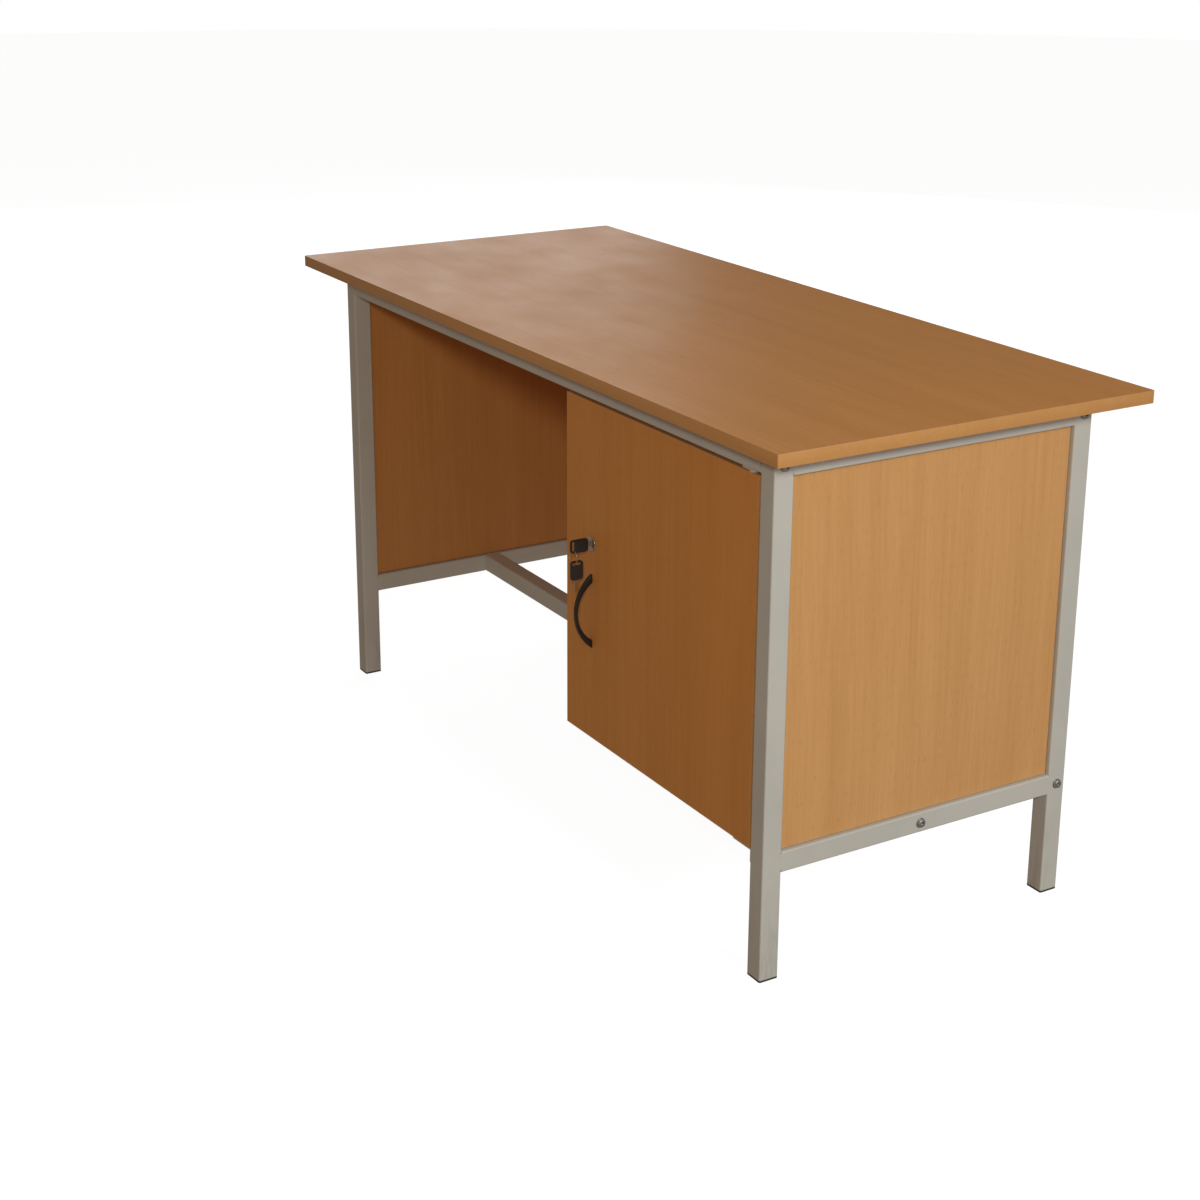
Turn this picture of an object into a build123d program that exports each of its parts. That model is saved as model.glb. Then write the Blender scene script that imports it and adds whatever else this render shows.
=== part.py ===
"""Teacher desk with a lockable pedestal cupboard.

A beech-faced top stands on a knock-down frame of square steel tube. The two end
frames are welded, four long rails are bolted between them, and flat panels close
the ends, the visitor side and the cupboard. The cupboard door turns on two pins
and carries a bow handle and a cam lock with its keys.

Frame: +X to the pedestal end, +Y to the visitor side, +Z up. The origin is on the
floor, in the middle of the outer box. Every length is in millimetres.
"""
import os

from build123d import *

# ---- driving dimensions -------------------------------------------------------
desk_height = 750.0
top_length = 1440.0
top_depth = 620.0
board = 18.0                # desk top thickness
edge_band = 2.0             # plastic band round the top
band_round = 1.5            # round on the band's upright corners
over_right = 46.0           # top past the frame, pedestal end
over_left = 114.0           # top past the frame, kneehole end
over_front = 29.0           # top past the frame, user side
over_rear = 66.0            # top past the frame, visitor side

tube = 30.0                 # square tube of legs and rails
wall = 1.5
corner = 2.5                # outside corner radius of the tube
low_rail = 156.0            # underside of the low rails
foot = 3.0                  # foot cap below the tube
foot_plug = 15.0            # foot cap inside the tube

panel = 16.0                # end, modesty, cupboard and door board
panel_gap = 1.0             # panel to tube
panel_edge = 0.5            # chamfer on the panels
door_width = 481.5
door_gap = 2.5              # door to leg
door_band = 1.0             # plastic band round the door
band_joint = 0.05           # butt joint between two bands
pivot_inset = 20.0          # hinge axis from the door's hinge-side edge
front_clear = 36.0          # shelf and floor behind the frame's front face
side_clear = 2.0            # side panel behind the shut door

lock_inset = 70.0           # lock axis from the door's free edge
lock_height = 488.5
handle_height = 385.0       # middle of the handle
handle_pitch = 96.0         # handle screw spacing
handle_reach = 28.0
handle_bar = 4.5            # bow thickness at its middle
handle_width = 7.0
handle_foot = 9.0           # bow past its screws, each end
handle_root = 4.0           # foot inside its screws, each end
handle_round = 1.6

key_head = 29.0             # head, along the key
key_head_width = 20.0
key_head_thick = 3.0
key_reach = 35.0            # head's far end, in front of the door
key_blade_width = 7.0
key_blade_thick = 2.0
key_bar = 3.0               # plastic left between the head's slot and its edges
key_slot = 4.0
ring_wire = 0.6             # wire radius
ring_inner = 10.0           # radius inside the wire
ring_slack = 2.5            # wire above the middle of the bar that it hangs on

bolt_r = 4.0
bolt_clear = 0.3
screw_r = 2.25              # floor screws, up through the stretcher
screw_grip = 12.0           # floor screw inside the board
small_screw_r = 1.75        # short wood screw
small_screw = 12.0          # short wood screw below its head
pin_r = 4.0                 # door pivot pin
pin_fit = 0.05              # radial clearance of pivot pins and lock barrel
free_gap = 0.2              # flat faces that move past each other

# ---- positions worked out from them ---------------------------------------------
frame_length = top_length - over_left - over_right
frame_depth = top_depth - over_front - over_rear
left = over_left - top_length / 2
right = left + frame_length
front = (key_reach - (top_depth - over_front)) / 2
rear = front + frame_depth
middle = (front + rear) / 2
under_top = desk_height - board
under_rail = under_top - tube
above_low = low_rail + tube
recess = (tube - panel) / 2          # panel face behind the tube face
rail_length = frame_length - 2 * tube
inner = tube - 2 * wall

door_right = right - tube - door_gap
door_left = door_right - door_width
door_back = front + panel
plate = 2.5                          # pivot plates
flange = 1.0                         # bush flange that carries the door
door_top = under_rail - plate - flange
door_bottom = above_low
pivot_x = door_right - pivot_inset
pivot_y = front + panel / 2
side_right = door_left + panel       # cupboard face of the side panel
end_inner = right - recess - panel   # cupboard face of the pedestal end panel
modesty_front = rear - recess - panel
lock_x = door_left + lock_inset

os.makedirs("parts", exist_ok=True)


def finish(part, name):
    """Label a finished piece and write it."""
    part.label = name
    export_step(part, f"parts/{name}.step")


def facing_user(y):
    """Plane at y, looking out to the user: local axes are X and Z."""
    return Plane(origin=(0, y, 0), x_dir=(1, 0, 0), z_dir=(0, -1, 0))


def tube_section():
    """Hollow square section, at the active sketch locations."""
    RectangleRounded(tube, tube, corner)
    RectangleRounded(inner, inner, corner - wall, mode=Mode.SUBTRACT)


def box_between(x, y, z, mode=Mode.ADD):
    """Box between three pairs of limits."""
    with Locations(((x[0] + x[1]) / 2, (y[0] + y[1]) / 2, (z[0] + z[1]) / 2)):
        Box(x[1] - x[0], y[1] - y[0], z[1] - z[0], mode=mode)


def rod(start, direction, length, radius, mode=Mode.ADD):
    """Round rod from a point along a direction."""
    centre = Vector(start) + Vector(direction) * (length / 2)
    with Locations(Plane(origin=centre, z_dir=direction)):
        Cylinder(radius, length, mode=mode)


# ---- tabs, brackets and the screws in them ------------------------------------------
top_left, top_right = -top_length / 2, top_length / 2
top_front, top_rear = front - over_front, rear + over_rear
tab, tab_thick = 20.0, 2.0
tab_rise = 80.0                      # tabs on the legs, from the rails
tab_z = (above_low + tab_rise, under_rail - tab_rise)
tab_inset = 150.0                    # tabs on the rails, from the frame's corners
angle, angle_thick, angle_width = 20.0, 2.0, 25.0
angle_hole = 12.0                    # screw from the angle's corner
angle_inset = 50.0                   # first angle, from the front of the shelf
angle_y = (front + front_clear + angle_inset, rear - 3 * tube)

# each tab: its limits in x, y and z, then the way that its screw goes in
tabs = []
hang_z = (under_rail - tab, under_rail)
for face, way in ((left + recess + panel, -1), (end_inner, 1)):
    tx = (face, face + tab_thick) if way < 0 else (face - tab_thick, face)
    for y in (front + tab_inset, rear - tab_inset):
        tabs.append((tx, (y - tab / 2, y + tab / 2), hang_z, (way, 0, 0)))
    for z in tab_z:
        tabs.append((tx, (rear - tube - tab, rear - tube), (z - tab / 2, z + tab / 2),
                     (way, 0, 0)))
ty = (modesty_front - tab_thick, modesty_front)
for z in tab_z:
    zz = (z - tab / 2, z + tab / 2)
    tabs.append(((left + tube, left + tube + tab), ty, zz, (0, 1, 0)))
    tabs.append(((right - tube - tab, right - tube), ty, zz, (0, 1, 0)))
top_z = (under_top - tab_thick, under_top)
for y in (front + tab_inset, rear - tab_inset):
    yy = (y - tab / 2, y + tab / 2)
    tabs.append(((left + tube, left + tube + tab), yy, top_z, (0, 0, 1)))
    tabs.append(((right - tube - tab, right - tube), yy, top_z, (0, 0, 1)))
for x in (left + tab_inset, right - tab_inset):
    xx = (x - tab / 2, x + tab / 2)
    tabs.append((xx, (front + tube, front + tube + tab), top_z, (0, 0, 1)))
    tabs.append((xx, (rear - tube - tab, rear - tube), top_z, (0, 0, 1)))


def tab_head(limits, way):
    """Point where a tab's screw head meets the tab."""
    ends = []
    for (low, high), step in zip(limits, way):
        ends.append(low if step > 0 else high if step < 0 else (low + high) / 2)
    return tuple(ends)


tab_heads = [(tab_head(t[:3], t[3]), t[3]) for t in tabs]
angle_screws = []
for y in angle_y:
    angle_screws.append(((side_right + angle_thick, y, under_top - angle_hole), (-1, 0, 0)))
    angle_screws.append(((side_right + angle_hole, y, under_top - angle_thick), (0, 0, 1)))

# ---- desk top ---------------------------------------------------------------------
with BuildPart() as desk_top:
    box_between((top_left + edge_band, top_right - edge_band),
                (top_front + edge_band, top_rear - edge_band), (under_top, desk_height))
    for point, way in tab_heads + angle_screws:
        if way[2]:
            rod(point, way, small_screw, small_screw_r, Mode.SUBTRACT)
finish(desk_top.part, "desk_top")

with BuildPart() as top_edge_bands:
    z = (under_top, desk_height)
    for y0, y1 in ((top_front, top_front + edge_band), (top_rear - edge_band, top_rear)):
        box_between((top_left, top_right), (y0, y1), z)
    corners = top_edge_bands.edges().filter_by(Axis.Z)
    fillet([e for e in corners if e.center().Y in (top_front, top_rear)], band_round)
    inside = (top_front + edge_band + band_joint, top_rear - edge_band - band_joint)
    for x0, x1 in ((top_left, top_left + edge_band), (top_right - edge_band, top_right)):
        box_between((x0, x1), inside, z)
finish(top_edge_bands.part, "top_edge_bands")

# ---- welded end frames ------------------------------------------------------------
top_bolt = under_top - tube / 2      # height of the bolts into the top rails
low_bolt = low_rail + tube / 2       # height of the bolts into the low rails
legs = [("front_left_leg", left, front, [top_bolt]),
        ("front_right_leg", right - tube, front, [top_bolt]),
        ("rear_left_leg", left, rear - tube, [top_bolt, low_bolt]),
        ("rear_right_leg", right - tube, rear - tube, [top_bolt, low_bolt])]

for name, x, y, bolts in legs:
    with BuildPart() as leg:
        with BuildSketch(Plane.XY.offset(foot)):
            with Locations((x + tube / 2, y + tube / 2)):
                tube_section()
        extrude(amount=under_top - foot)
        for z in bolts:
            rod((x, y + tube / 2, z), (1, 0, 0), tube, bolt_r + bolt_clear, Mode.SUBTRACT)
    finish(leg.part, name)

with BuildPart() as foot_caps:
    for name, x, y, bolts in legs:
        box_between((x, x + tube), (y, y + tube), (0, foot))
    fillet(foot_caps.edges().filter_by(Axis.Z), corner)
    inset = wall + free_gap
    for name, x, y, bolts in legs:
        box_between((x + inset, x + tube - inset), (y + inset, y + tube - inset),
                    (foot, foot + foot_plug))
    plugs = [e for e in foot_caps.edges().filter_by(Axis.Z) if e.center().Z > foot]
    fillet(plugs, corner - wall + free_gap)
finish(foot_caps.part, "foot_caps")

for side, x in (("left", left), ("right", right - tube)):
    for level, z in (("top", under_rail), ("bottom", low_rail)):
        with BuildPart() as end_rail:
            with BuildSketch(facing_user(rear - tube)):
                with Locations((x + tube / 2, z + tube / 2)):
                    tube_section()
            extrude(amount=frame_depth - 2 * tube)
            if level == "bottom":
                rod((x, middle, z + tube / 2), (1, 0, 0), tube, bolt_r + bolt_clear,
                    Mode.SUBTRACT)
        finish(end_rail.part, f"{side}_end_{level}_rail")

# ---- long rails, bolted between the end frames ----------------------------------------
floor_screws = [(side_right + share * (end_inner - side_right), middle)
                for share in (0.15, 0.5, 0.85)]
rails = [("front_top_rail", front, under_rail), ("rear_top_rail", rear - tube, under_rail),
         ("centre_stretcher", middle - tube / 2, low_rail),
         ("rear_bottom_rail", rear - tube, low_rail)]

for name, y, z in rails:
    with BuildPart() as rail:
        with BuildSketch(Plane.YZ.offset(left + tube)):
            with Locations((y + tube / 2, z + tube / 2)):
                tube_section()
        extrude(amount=rail_length)
        if name == "centre_stretcher":
            for sx, sy in floor_screws:
                rod((sx, sy, z), (0, 0, 1), tube, screw_r + bolt_clear, Mode.SUBTRACT)
    finish(rail.part, name)

end_plate = 4.0                      # threaded plate welded into each rail end
with BuildPart() as rail_end_plates:
    inset = wall + free_gap / 2
    for name, y, z in rails:
        for x in (left + tube, right - tube - end_plate):
            box_between((x, x + end_plate), (y + inset, y + tube - inset),
                        (z + inset, z + tube - inset))
    fillet(rail_end_plates.edges().filter_by(Axis.X), corner - wall + free_gap)
    for name, y, z in rails:
        for x in (left + tube, right - tube - end_plate):
            rod((x, y + tube / 2, z + tube / 2), (1, 0, 0), end_plate, bolt_r, Mode.SUBTRACT)
finish(rail_end_plates.part, "rail_end_plates")

washer, washer_r = 1.2, 7.0
bolt_head, bolt_head_r, head_round = 4.0, 6.0, 2.0
socket_r, socket_depth = 2.5, 2.4
bolt_past = 2.0                      # bolt past its threaded plate
with BuildPart() as bolt_washers:
    for name, y, z in rails:
        for x, way in ((left, -1), (right, 1)):
            start = (x, y + tube / 2, z + tube / 2)
            rod(start, (way, 0, 0), washer, washer_r)
            rod(start, (way, 0, 0), washer, bolt_r + bolt_clear, Mode.SUBTRACT)
finish(bolt_washers.part, "bolt_washers")

with BuildPart() as frame_bolts:
    for name, y, z in rails:
        for x, way in ((left, -1), (right, 1)):
            rod((x + way * washer, y + tube / 2, z + tube / 2), (way, 0, 0), bolt_head,
                bolt_head_r)
    rims = frame_bolts.edges().filter_by(GeomType.CIRCLE).group_by(Axis.X)
    fillet(rims[0] + rims[-1], head_round)
    for name, y, z in rails:
        for x, way in ((left, -1), (right, 1)):
            shank = washer + tube + end_plate + bolt_past
            rod((x + way * washer, y + tube / 2, z + tube / 2), (-way, 0, 0), shank, bolt_r)
            socket = x + way * (washer + bolt_head)
            with BuildSketch(Plane(origin=(socket, y + tube / 2, z + tube / 2),
                                   z_dir=(-way, 0, 0))):
                RegularPolygon(socket_r, 6)
            extrude(amount=socket_depth, mode=Mode.SUBTRACT)
finish(frame_bolts.part, "frame_bolts")

head_h, head_r, pan_round = 2.5, 4.5, 1.5    # pan heads of the long wood screws
with BuildPart() as floor_rail_screws:
    for x, y in floor_screws:
        rod((x, y, low_rail - head_h), (0, 0, 1), head_h, head_r)
    fillet(floor_rail_screws.edges().group_by(Axis.Z)[0], pan_round)
    for x, y in floor_screws:
        rod((x, y, low_rail), (0, 0, 1), tube + screw_grip, screw_r)
finish(floor_rail_screws.part, "floor_rail_screws")

# ---- flat panels in the frame -----------------------------------------------------------
panel_z = (above_low + panel_gap, under_rail - panel_gap)
panel_y = (front + tube + panel_gap, rear - tube - panel_gap)
shelf_under, pin_peg_r, pin_peg = 430.0, 2.5, 8.0
peg_y = (front + 2 * front_clear, rear - 3 * tube)
peg_z = shelf_under - pin_peg_r
modesty_x = (left + tube + panel_gap, right - tube - panel_gap)

with BuildPart() as fixing_tabs:
    for x, y, z, way in tabs:
        box_between(x, y, z)
    for point, way in tab_heads:
        rod(point, way, tab_thick, small_screw_r, Mode.SUBTRACT)
finish(fixing_tabs.part, "fixing_tabs")

small_head_h, small_head_r = 1.8, 3.5
with BuildPart() as tab_screws:
    for point, way in tab_heads:
        out = tuple(-c for c in way)
        rod(point, out, small_head_h, small_head_r)
        rod(point, way, small_screw, small_screw_r)
finish(tab_screws.part, "tab_screws")

for name, x in (("left_end_panel", left + recess), ("right_end_panel", end_inner)):
    with BuildPart() as end_panel:
        box_between((x, x + panel), panel_y, panel_z)
        chamfer(end_panel.edges(), panel_edge)
        for point, way in tab_heads:
            if way[0] and x - tab < point[0] < x + panel + tab:
                rod(point, way, small_screw, small_screw_r, Mode.SUBTRACT)
        if name == "right_end_panel":
            for y in peg_y:
                rod((x, y, peg_z), (1, 0, 0), pin_peg, pin_peg_r, Mode.SUBTRACT)
    finish(end_panel.part, name)

with BuildPart() as modesty_panel:
    box_between(modesty_x, (modesty_front, modesty_front + panel), panel_z)
    chamfer(modesty_panel.edges(), panel_edge)
    for point, way in tab_heads:
        if way[1]:
            rod(point, way, small_screw, small_screw_r, Mode.SUBTRACT)
finish(modesty_panel.part, "modesty_panel")

# ---- cupboard carcass ----------------------------------------------------------------------
side_front = door_back + side_clear
side_rear = modesty_front - panel_gap
joint_r, joint_len, joint_head_r, joint_head = 2.5, 48.0, 5.0, 3.0
joint_inset = 60.0
joint_y = [front + front_clear + joint_inset, middle, side_rear - joint_inset]
joint_z = above_low + panel / 2
strike_start, strike_width = 19.5, 18.0      # strike plate behind the door's front face
strike_y = (front + strike_start, front + strike_start + strike_width)
strike_half, strike_arm = 15.0, 18.0
strike_screw_in, strike_pitch = 11.0, 18.0
strike_screws = [(side_right + angle_thick, strike_y[0] + strike_screw_in, lock_height + dz)
                 for dz in (-strike_pitch / 2, strike_pitch / 2)]
floor_slack = 0.5                    # cupboard floor to the end panel
shelf_slack = 1.0                    # shelf to the boards and the leg round it
shelf_round = 0.8

with BuildPart() as cupboard_side_panel:
    with BuildSketch(Plane.YZ.offset(door_left)):
        with BuildLine():
            notch = under_rail - panel_gap
            Polyline((side_front, above_low), (side_rear, above_low), (side_rear, notch),
                     (rear - tube - panel_gap, notch), (rear - tube - panel_gap, under_top),
                     (front + tube + panel_gap, under_top), (front + tube + panel_gap, notch),
                     (side_front, notch), close=True)
        make_face()
    extrude(amount=panel)
    for y in joint_y:
        rod((door_left, y, joint_z), (1, 0, 0), panel, joint_r, Mode.SUBTRACT)
        rod((door_left, y, joint_z), (1, 0, 0), joint_head, joint_head_r, Mode.SUBTRACT)
    for y in peg_y:
        rod((side_right, y, peg_z), (-1, 0, 0), pin_peg, pin_peg_r, Mode.SUBTRACT)
    for point in strike_screws:
        rod(point, (-1, 0, 0), small_screw, small_screw_r, Mode.SUBTRACT)
    for point, way in angle_screws:
        if way[0]:
            rod(point, way, small_screw, small_screw_r, Mode.SUBTRACT)
finish(cupboard_side_panel.part, "cupboard_side_panel")

with BuildPart() as cupboard_floor:
    box_between((side_right, end_inner - floor_slack), (front + front_clear, side_rear),
                (above_low, above_low + panel))
    box_between((right - tube - panel_gap, right), (rear - tube - panel_gap, rear),
                (above_low, above_low + panel), Mode.SUBTRACT)
    for y in joint_y:
        rod((side_right, y, joint_z), (1, 0, 0), joint_len - panel, joint_r, Mode.SUBTRACT)
    for x, y in floor_screws:
        rod((x, y, above_low), (0, 0, 1), screw_grip, screw_r, Mode.SUBTRACT)
finish(cupboard_floor.part, "cupboard_floor")

with BuildPart() as carcass_screws:
    for y in joint_y:
        rod((door_left, y, joint_z), (1, 0, 0), joint_head, joint_head_r)
        rod((door_left, y, joint_z), (1, 0, 0), joint_len, joint_r)
finish(carcass_screws.part, "carcass_screws")

with BuildPart() as cupboard_shelf:
    box_between((side_right + shelf_slack, end_inner - shelf_slack),
                (front + front_clear, rear - tube - shelf_slack),
                (shelf_under, shelf_under + panel))
    fillet(cupboard_shelf.edges().filter_by(Axis.X).group_by(Axis.Y)[0], shelf_round)
finish(cupboard_shelf.part, "cupboard_shelf")

with BuildPart() as shelf_pins:
    for y in peg_y:
        rod((side_right - pin_peg, y, peg_z), (1, 0, 0), 2 * pin_peg, pin_peg_r)
        rod((end_inner - pin_peg, y, peg_z), (1, 0, 0), 2 * pin_peg, pin_peg_r)
finish(shelf_pins.part, "shelf_pins")

with BuildPart() as side_panel_brackets:
    for y in angle_y:
        yy = (y - angle_width / 2, y + angle_width / 2)
        box_between((side_right, side_right + angle_thick), yy, (under_top - angle, under_top))
        box_between((side_right, side_right + angle), yy, (under_top - angle_thick, under_top))
    for point, way in angle_screws:
        rod(point, way, angle_thick, small_screw_r, Mode.SUBTRACT)
finish(side_panel_brackets.part, "side_panel_brackets")

with BuildPart() as bracket_screws:
    for point, way in angle_screws:
        rod(point, tuple(-c for c in way), small_head_h, small_head_r)
        rod(point, way, small_screw, small_screw_r)
finish(bracket_screws.part, "bracket_screws")

with BuildPart() as strike_plate:
    z = (lock_height - strike_half, lock_height + strike_half)
    box_between((side_right, side_right + angle_thick), strike_y, z)
    box_between((side_right, side_right + strike_arm),
                (strike_y[0], strike_y[0] + angle_thick), z)
    for point in strike_screws:
        rod(point, (-1, 0, 0), angle_thick, small_screw_r, Mode.SUBTRACT)
finish(strike_plate.part, "strike_plate")

with BuildPart() as strike_screw_pair:
    for point in strike_screws:
        rod(point, (1, 0, 0), small_head_h, small_head_r)
        rod(point, (-1, 0, 0), small_screw, small_screw_r)
finish(strike_screw_pair.part, "strike_screws")

# ---- door pivots: fixed pins above and below -------------------------------------------------
pin_len = 15.0
bracket_edge = 2.0                   # bracket inside the door's thickness
bracket_y = (front + bracket_edge, front + panel - bracket_edge)
lower_top = door_bottom - flange
with BuildPart() as upper_pivot_bracket:
    box_between((pivot_x - tab, pivot_x + tab / 2), bracket_y,
                (under_rail - plate, under_rail))
    rod((pivot_x, pivot_y, under_rail - plate), (0, 0, -1), flange + pin_len, pin_r)
finish(upper_pivot_bracket.part, "upper_pivot_bracket")

with BuildPart() as lower_pivot_bracket:
    box_between((pivot_x - tab, right - tube), bracket_y, (lower_top - plate, lower_top))
    box_between((right - tube - plate, right - tube), bracket_y,
                (lower_top - tab, lower_top - plate))
    rod((pivot_x, pivot_y, lower_top), (0, 0, 1), flange + pin_len, pin_r)
finish(lower_pivot_bracket.part, "lower_pivot_bracket")

# ---- door -------------------------------------------------------------------------------------
bush_r, bush_len, bush_flange_r = 5.5, 18.0, 7.5
bush_ends = [(door_bottom, 1), (door_top, -1)]
lock_r = 9.0
handle_x = lock_x
handle_ends = [handle_height + dz * handle_pitch / 2 for dz in (-1, 1)]
handle_screw_r, handle_screw_grip = 2.0, 5.5


def door_holes():
    """Bush, lock and handle holes, cut from the active piece."""
    for z, way in bush_ends:
        rod((pivot_x, pivot_y, z), (0, 0, way), bush_len, bush_r, Mode.SUBTRACT)
    rod((lock_x, front, lock_height), (0, 1, 0), panel, lock_r, Mode.SUBTRACT)
    for z in handle_ends:
        rod((handle_x, front, z), (0, 1, 0), panel, handle_screw_r, Mode.SUBTRACT)


with BuildPart() as door_panel:
    box_between((door_left + door_band, door_right - door_band), (front, door_back),
                (door_bottom + door_band, door_top - door_band))
    door_holes()
finish(door_panel.part, "door_panel")

with BuildPart() as door_edge_bands:
    for x0, x1 in ((door_left, door_left + door_band), (door_right - door_band, door_right)):
        box_between((x0, x1), (front, door_back), (door_bottom, door_top))
    inside = (door_left + door_band + band_joint, door_right - door_band - band_joint)
    for z0, z1 in ((door_bottom, door_bottom + door_band), (door_top - door_band, door_top)):
        box_between(inside, (front, door_back), (z0, z1))
    door_holes()
finish(door_edge_bands.part, "door_edge_bands")

with BuildPart() as pivot_bushes:
    for z, way in bush_ends:
        start = (pivot_x, pivot_y, z)
        rod(start, (0, 0, way), bush_len, bush_r)
        rod(start, (0, 0, -way), flange, bush_flange_r)
        rod((pivot_x, pivot_y, z - way * flange), (0, 0, way), flange + bush_len,
            pin_r + pin_fit, Mode.SUBTRACT)
finish(pivot_bushes.part, "pivot_bushes")

# ---- bow handle ---------------------------------------------------------------------------------
half_out = handle_pitch / 2 + handle_foot
half_in = handle_pitch / 2 - handle_root
with BuildPart() as door_handle:
    with BuildSketch(Plane.YZ.offset(handle_x - handle_width / 2)):
        with BuildLine():
            low, high = handle_height - half_out, handle_height + half_out
            ThreePointArc((front, low), (front - handle_reach, handle_height), (front, high))
            Line((front, high), (front, handle_height + half_in))
            ThreePointArc((front, handle_height + half_in),
                          (front - handle_reach + handle_bar, handle_height),
                          (front, handle_height - half_in))
            Line((front, handle_height - half_in), (front, low))
        make_face()
    extrude(amount=handle_width)
    fillet(door_handle.edges().filter_by(GeomType.CIRCLE), handle_round)
    for z in handle_ends:
        rod((handle_x, front, z), (0, -1, 0), handle_screw_grip, handle_screw_r, Mode.SUBTRACT)
finish(door_handle.part, "door_handle")

with BuildPart() as handle_screws:
    for z in handle_ends:
        rod((handle_x, door_back, z), (0, 1, 0), head_h, head_r)
        rod((handle_x, door_back, z), (0, -1, 0), panel + handle_screw_grip, handle_screw_r)
finish(handle_screws.part, "handle_screws")

# ---- cam lock -------------------------------------------------------------------------------------
rim, rim_r, rim_round = 2.0, 11.5, 1.2
barrel_r = 6.0
lock_back = 8.0                      # housing behind the door
nut_thick, nut_r = 3.0, 12.0
keyway_depth, key_clear = 20.0, 0.15
cam_length, cam_width, cam_thick, cam_square = 45.0, 14.0, 2.0, 7.0
cam_corner = 3.0
cam_screw_in, cam_screw_head_r = 4.0, 5.3
body_end = door_back + lock_back
with BuildPart() as lock_body:
    with BuildSketch(facing_user(front)):
        with Locations((lock_x, lock_height)):
            Circle(rim_r)
    extrude(amount=rim)
    fillet(lock_body.edges().group_by(Axis.Y)[0], rim_round)
    rod((lock_x, front, lock_height), (0, 1, 0), panel + lock_back, lock_r)
    rod((lock_x, front - rim, lock_height), (0, 1, 0), rim + panel + lock_back,
        barrel_r + pin_fit, Mode.SUBTRACT)
finish(lock_body.part, "lock_body")

with BuildPart() as lock_nut:
    with BuildSketch(facing_user(door_back)):
        with Locations((lock_x, lock_height)):
            RegularPolygon(nut_r, 6, major_radius=False)
            Circle(lock_r, mode=Mode.SUBTRACT)
    extrude(amount=-nut_thick)
finish(lock_nut.part, "lock_nut")

cam_y = body_end + free_gap
with BuildPart() as lock_barrel:
    rod((lock_x, front - rim, lock_height), (0, 1, 0), rim + panel + lock_back + free_gap,
        barrel_r)
    with BuildSketch(facing_user(cam_y)):
        with Locations((lock_x, lock_height)):
            Rectangle(cam_square, cam_square)
    extrude(amount=-cam_thick)
    with BuildSketch(facing_user(front - rim)):
        with Locations((lock_x, lock_height)):
            Rectangle(key_blade_thick + 2 * key_clear, key_blade_width + 2 * key_clear)
    extrude(amount=-(rim + keyway_depth), mode=Mode.SUBTRACT)
    rod((lock_x, cam_y + cam_thick, lock_height), (0, -1, 0), cam_screw_in, small_screw_r,
        Mode.SUBTRACT)
finish(lock_barrel.part, "lock_barrel")

with BuildPart() as lock_cam:
    with BuildSketch(facing_user(cam_y)):
        with BuildLine():
            half = cam_width / 2
            tip = lock_height - cam_length
            Polyline((lock_x - half, lock_height), (lock_x - half, tip + cam_corner),
                     (lock_x - half + cam_corner, tip), (lock_x + half - cam_corner, tip),
                     (lock_x + half, tip + cam_corner), (lock_x + half, lock_height))
            ThreePointArc((lock_x + half, lock_height), (lock_x, lock_height + half),
                          (lock_x - half, lock_height))
        make_face()
        with Locations((lock_x, lock_height)):
            Rectangle(cam_square, cam_square, mode=Mode.SUBTRACT)
    extrude(amount=-cam_thick)
finish(lock_cam.part, "lock_cam")

with BuildPart() as cam_screw:
    rod((lock_x, cam_y + cam_thick, lock_height), (0, 1, 0), head_h, cam_screw_head_r)
    rod((lock_x, cam_y + cam_thick, lock_height), (0, -1, 0), cam_screw_in, small_screw_r)
finish(cam_screw.part, "cam_screw")

# ---- keys: one in the lock, one hanging from it on a ring --------------------------------------
key_end_gap = 0.5                    # blade to the bottom of the keyway
spare_length = 46.0
spare_aside = 5.5                    # spare key's middle, behind the ring
key_cover = 8.0                      # head moulded over the blade
key_corner, key_slot_corner, key_edge = 4.5, 1.2, 0.6
head_tip = front - key_reach
blade_end = front + keyway_depth - key_end_gap
blade_length = blade_end - head_tip
blade_root = key_head - key_cover
slot_half = key_head_width / 2 - key_bar
pivot_z = lock_height - slot_half - key_bar / 2
ring_y = head_tip + key_bar + key_slot / 2
ring_r = ring_inner + ring_wire
ring_z = pivot_z + ring_slack - ring_inner
spare_y = ring_y + spare_aside
spare_top = ring_z - ring_inner + ring_slack + key_bar / 2
in_lock = Plane(origin=(lock_x, head_tip, lock_height), x_dir=(0, 1, 0), z_dir=(1, 0, 0))
hanging = Plane(origin=(lock_x, spare_y, spare_top), x_dir=(0, 0, -1), z_dir=(1, 0, 0))

for plane, length, prefix in ((in_lock, blade_length, "key"),
                              (hanging, spare_length, "spare_key")):
    with BuildPart() as head:
        with BuildSketch(plane):
            with Locations((key_head / 2, 0)):
                RectangleRounded(key_head, key_head_width, key_corner)
            with Locations((key_bar + key_slot / 2, 0)):
                RectangleRounded(key_slot, 2 * slot_half, key_slot_corner, mode=Mode.SUBTRACT)
        extrude(amount=key_head_thick / 2, both=True)
        fillet(head.edges().filter_by(Axis.X, reverse=True), key_edge)
        with BuildSketch(plane):
            with Locations(((blade_root + key_head) / 2, 0)):
                Rectangle(key_head - blade_root, key_blade_width)
        extrude(amount=key_blade_thick / 2, both=True, mode=Mode.SUBTRACT)
    finish(head.part, f"{prefix}_head")

    with BuildPart() as blade:
        with BuildSketch(plane):
            with Locations(((blade_root + length) / 2, 0)):
                Rectangle(length - blade_root, key_blade_width)
        extrude(amount=key_blade_thick / 2, both=True)
    finish(blade.part, f"{prefix}_blade")

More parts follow.
